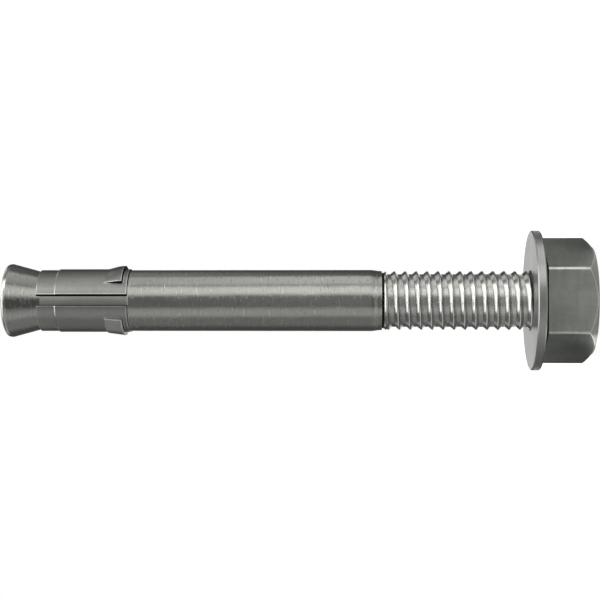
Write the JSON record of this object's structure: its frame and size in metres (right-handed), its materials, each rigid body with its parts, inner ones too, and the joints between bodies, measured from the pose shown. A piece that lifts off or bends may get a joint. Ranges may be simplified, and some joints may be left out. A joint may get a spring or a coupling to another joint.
{
  "type": "nail anchor",
  "caption": "Steel anchor for drilled holes: a cone bolt with a split expansion clip on its neck, a threaded stud, a plain washer and a hex nut.",
  "frame": {"origin": "on the bolt's axis, at the outer face of the nut, which the anchor stands on", "axes": "+Z along the bolt, from the nut up to the cone; the clip's seam and one flat of the nut face -Y"},
  "size_m": [0.0128, 0.0128, 0.0538],
  "materials": {
    "bolt_steel": "turned bright steel",
    "clip_steel": "satin rolled sheet",
    "washer_steel": "satin pressed sheet",
    "nut_steel": "satin grey steel"
  },
  "bodies": {
    "bolt": {"anchor_bolt": "bolt_steel"},
    "clip": {"expansion_clip": "clip_steel"},
    "washer": {"washer": "washer_steel"},
    "nut": {"hex_nut": "nut_steel"}
  },
  "joints": [
    {"name": "clip_turn", "type": "hinge", "parent": "bolt", "child": "clip", "pos_m": [0, 0, 0.0464], "axis": [0, 0, 1], "continuous": true},
    {"name": "washer_slide", "type": "slide", "parent": "bolt", "child": "washer", "axis": [0, 0, 1], "range_m": [0, 0.013]},
    {"name": "nut_turn", "type": "hinge", "parent": "washer", "child": "nut", "pos_m": [0, 0, 0.0024], "axis": [0, 0, 1], "range_deg": [0, 4680]}
  ],
  "couplings": [
    {"joint": "nut_turn", "follows": "washer_slide", "rad_per_m": 6283.2}
  ]
}
